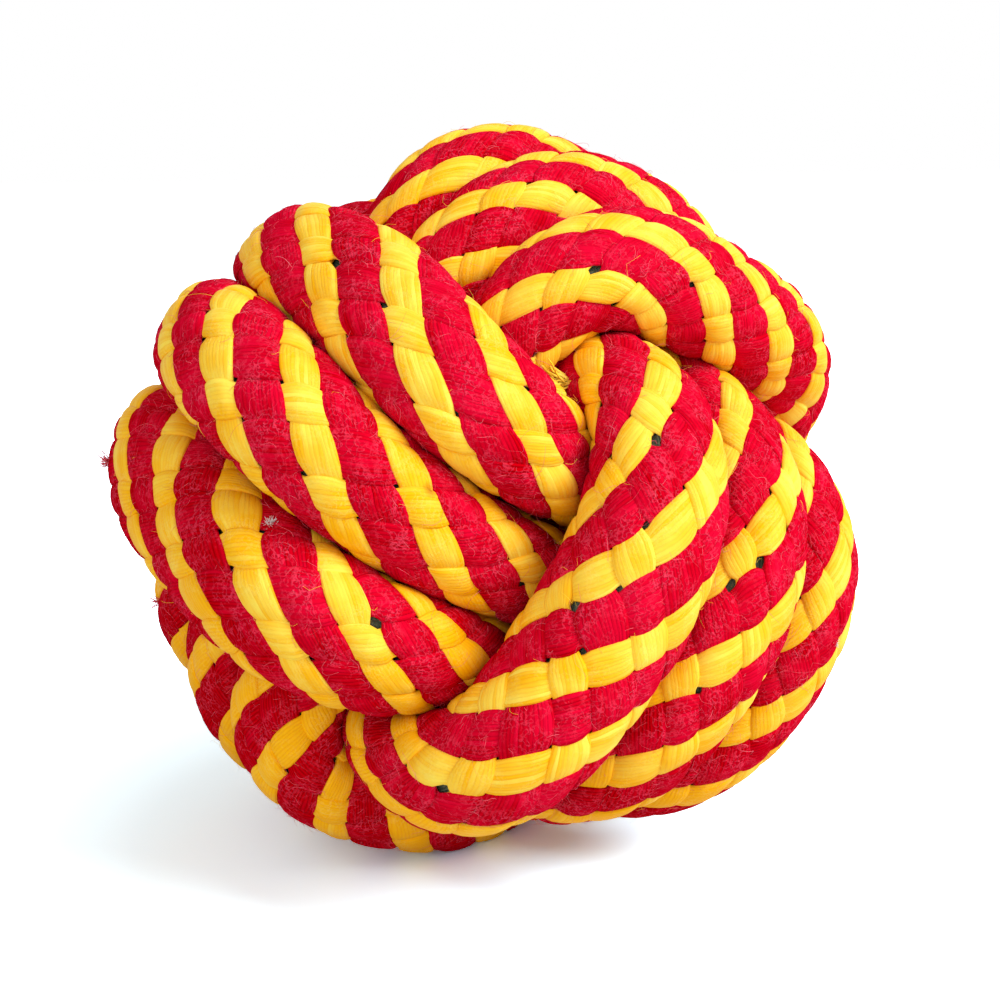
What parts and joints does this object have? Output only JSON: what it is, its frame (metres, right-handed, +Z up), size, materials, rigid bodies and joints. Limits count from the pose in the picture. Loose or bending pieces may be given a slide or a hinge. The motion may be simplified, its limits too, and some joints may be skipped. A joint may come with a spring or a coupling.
{
  "type": "rope dog toy",
  "caption": "Ball for a dog to throw, chew and tug, knotted as a tight monkey's fist from one length of thick soft round braided rope with its ends tucked inside.",
  "frame": {"origin": "on the floor under the middle of the ball's outline, with the ball standing on the flat of its lowest strand", "axes": "+Z up, -Y towards the side that the picture shows, +X to the right of it"},
  "size_m": [0.1008, 0.1006, 0.0995],
  "materials": {
    "braided_cover": "soft braided cotton tape, red with yellow stripes, matt and fuzzy",
    "filler_core": "dark green cotton filler strands, matt"
  },
  "bodies": {
    "root": {"first_winding_cover": "braided_cover", "first_winding_core": "filler_core", "second_winding_cover": "braided_cover", "second_winding_core": "filler_core", "third_winding_cover": "braided_cover", "third_winding_core": "filler_core"}
  },
  "joints": []
}
